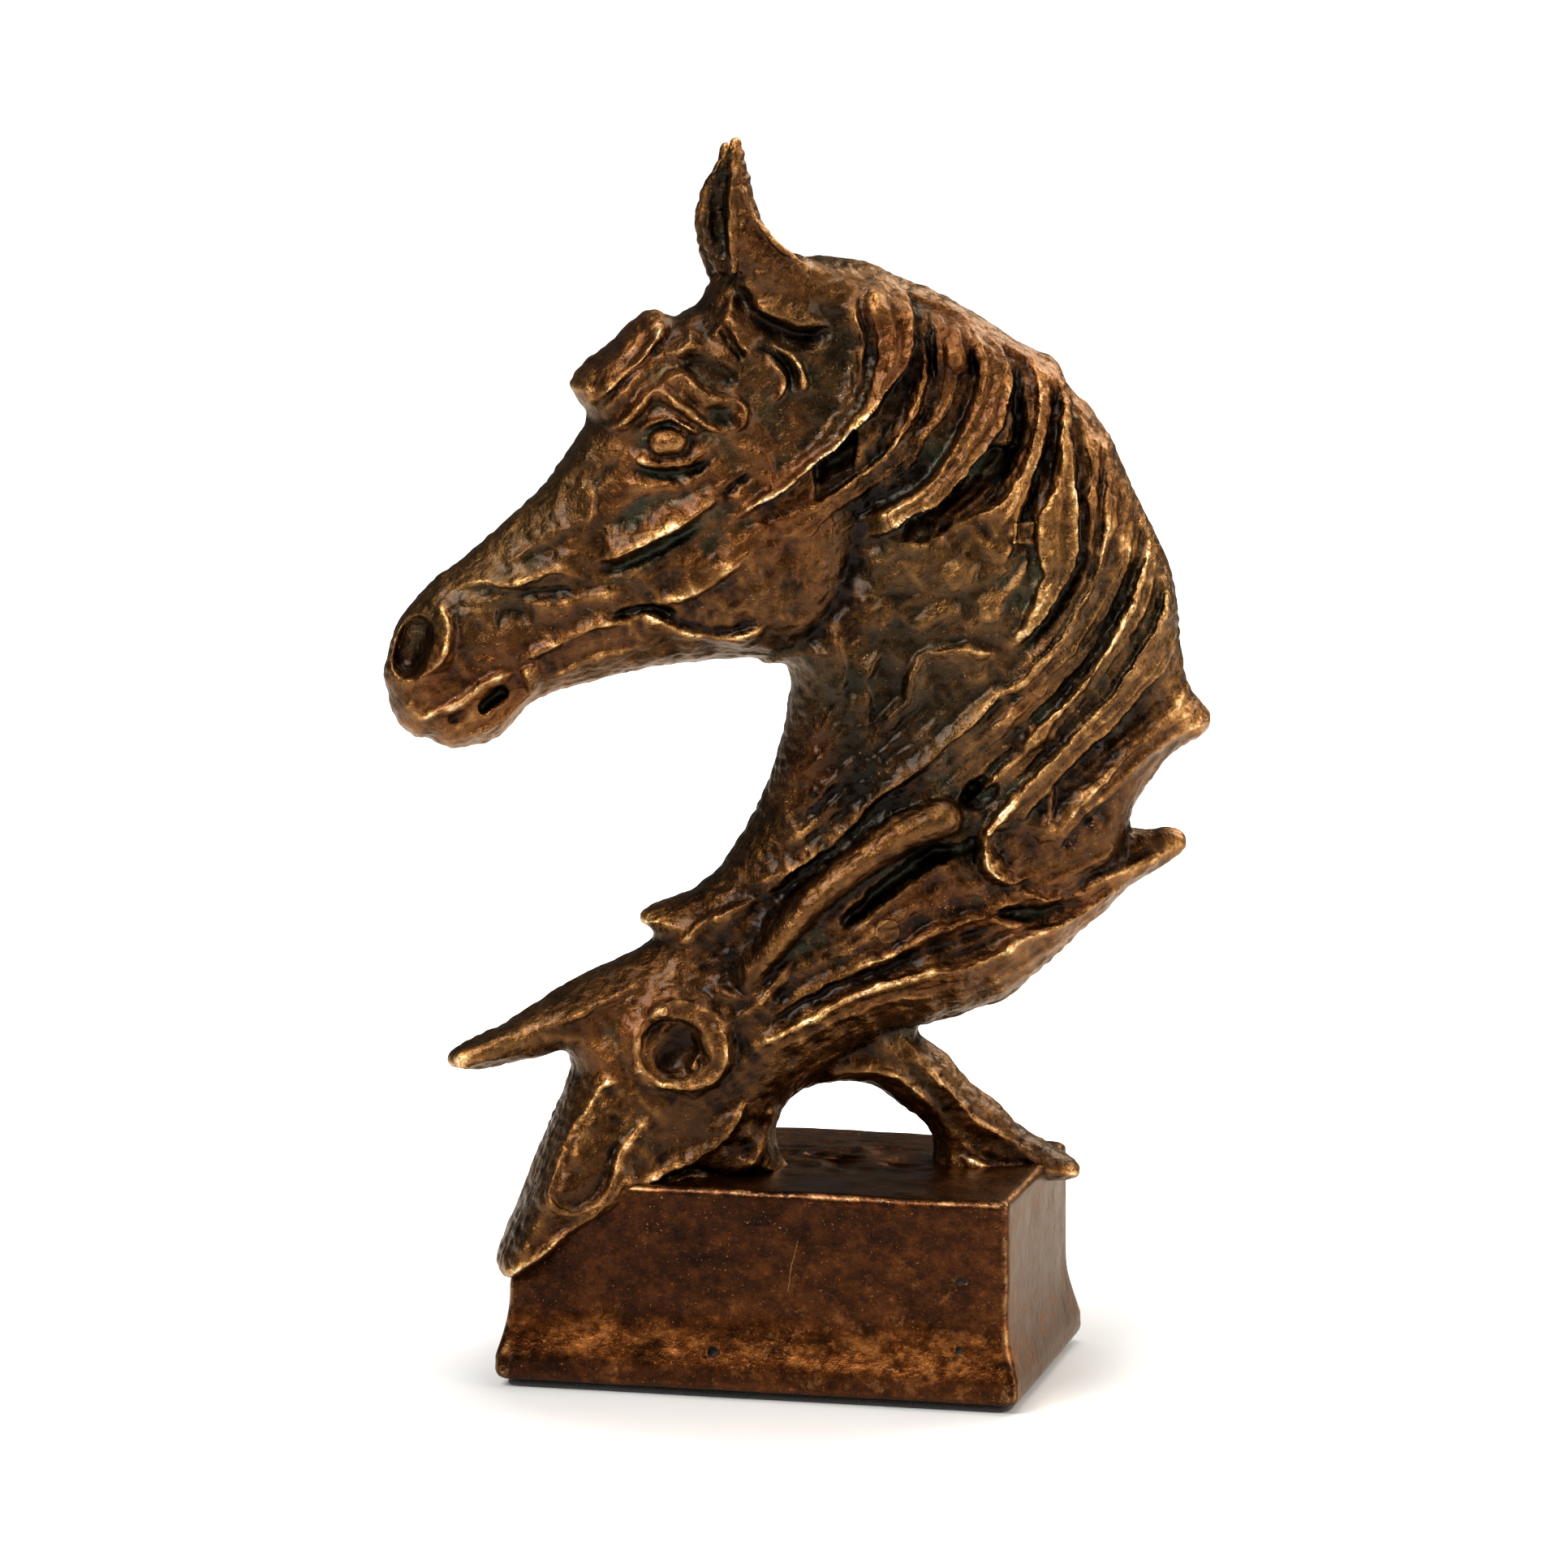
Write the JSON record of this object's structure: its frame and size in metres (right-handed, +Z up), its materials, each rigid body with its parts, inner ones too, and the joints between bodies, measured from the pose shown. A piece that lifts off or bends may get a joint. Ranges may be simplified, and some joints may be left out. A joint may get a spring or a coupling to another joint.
{
  "type": "bronze horse statue",
  "caption": "Cast bronze statue of a horse's head and arched neck over a second, lower horse's head, bolted to a rectangular block base with a felt pad under it.",
  "frame": {"origin": "middle of the felt pad's underside, which is the middle of the base", "axes": "+X along the base's long side, away from the way the heads face; +Y away from the viewed side; +Z up"},
  "size_m": [0.1795, 0.0826, 0.2798],
  "materials": {
    "bronze": "waxed dark brown patina, worn golden on the edges",
    "steel": "plain",
    "felt": "matte"
  },
  "bodies": {
    "root": {"base_casting": "bronze", "felt_pad": "felt", "upper_head_casting": "bronze", "near_ear": "bronze", "far_ear": "bronze", "neck_casting": "bronze", "lower_head_casting": "bronze", "strut_casting": "bronze", "core_plug_neck_near": "bronze", "core_plug_neck_far": "bronze", "core_plug_lower_near": "bronze", "core_plug_lower_far": "bronze", "head_dowel_upper": "steel", "head_dowel_lower": "steel", "neck_dowel_front": "steel", "neck_dowel_rear": "steel", "strut_dowel": "steel", "near_ear_dowel": "steel", "far_ear_dowel": "steel", "stud_front": "steel", "stud_middle": "steel", "stud_foot": "steel", "washer_front": "steel", "washer_middle": "steel", "washer_foot": "steel", "nut_front": "steel", "nut_middle": "steel", "nut_foot": "steel"}
  },
  "joints": []
}
